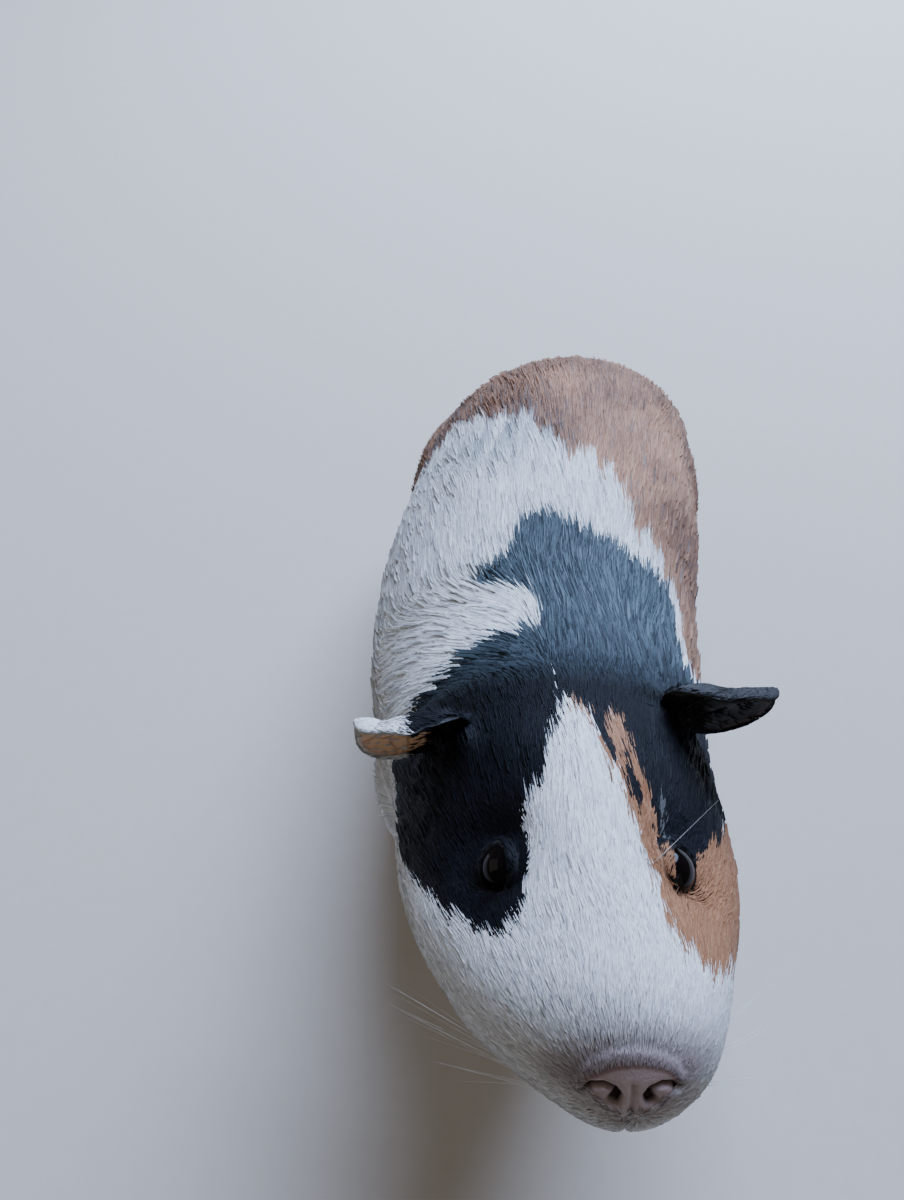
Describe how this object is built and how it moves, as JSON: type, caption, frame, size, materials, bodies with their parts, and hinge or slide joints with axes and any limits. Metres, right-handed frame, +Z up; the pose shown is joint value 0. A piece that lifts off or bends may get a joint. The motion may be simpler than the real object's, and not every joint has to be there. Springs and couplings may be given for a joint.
{
  "type": "guinea pig",
  "caption": "Life-size still model of a short-haired young guinea pig, standing with its head raised, with white, black and ginger patches.",
  "frame": {"origin": "on the floor, under the middle of the animal's bounding box", "axes": "+Z up, -Y towards the nose, +X towards the animal's left"},
  "size_m": [0.0948, 0.2162, 0.1094],
  "materials": {
    "coat": "short smooth fur in white, black and ginger patches",
    "nose_skin": "bare, slightly moist skin",
    "ear_dark": "thin dark skin with sparse down",
    "ear_pale": "thin pink skin with pale down",
    "eye": "wet and glossy, near black",
    "foot_skin": "bare pink skin with short down on top",
    "claw": "pale horn"
  },
  "bodies": {
    "root": {"head": "coat", "neck": "coat", "trunk": "coat", "foreleg_left": "coat", "foreleg_right": "coat", "hindleg_left": "coat", "hindleg_right": "coat", "nose": "nose_skin", "ear_left": "ear_dark", "ear_right": "ear_pale", "eye_left": "eye", "eye_right": "eye", "forefoot_left": "foot_skin", "forefoot_right": "foot_skin", "hindfoot_left": "foot_skin", "hindfoot_right": "foot_skin", "foreclaw_left_1": "claw", "foreclaw_left_2": "claw", "foreclaw_left_3": "claw", "foreclaw_left_4": "claw", "foreclaw_right_1": "claw", "foreclaw_right_2": "claw", "foreclaw_right_3": "claw", "foreclaw_right_4": "claw", "hindclaw_left_1": "claw", "hindclaw_left_2": "claw", "hindclaw_left_3": "claw", "hindclaw_right_1": "claw", "hindclaw_right_2": "claw", "hindclaw_right_3": "claw"}
  },
  "joints": []
}
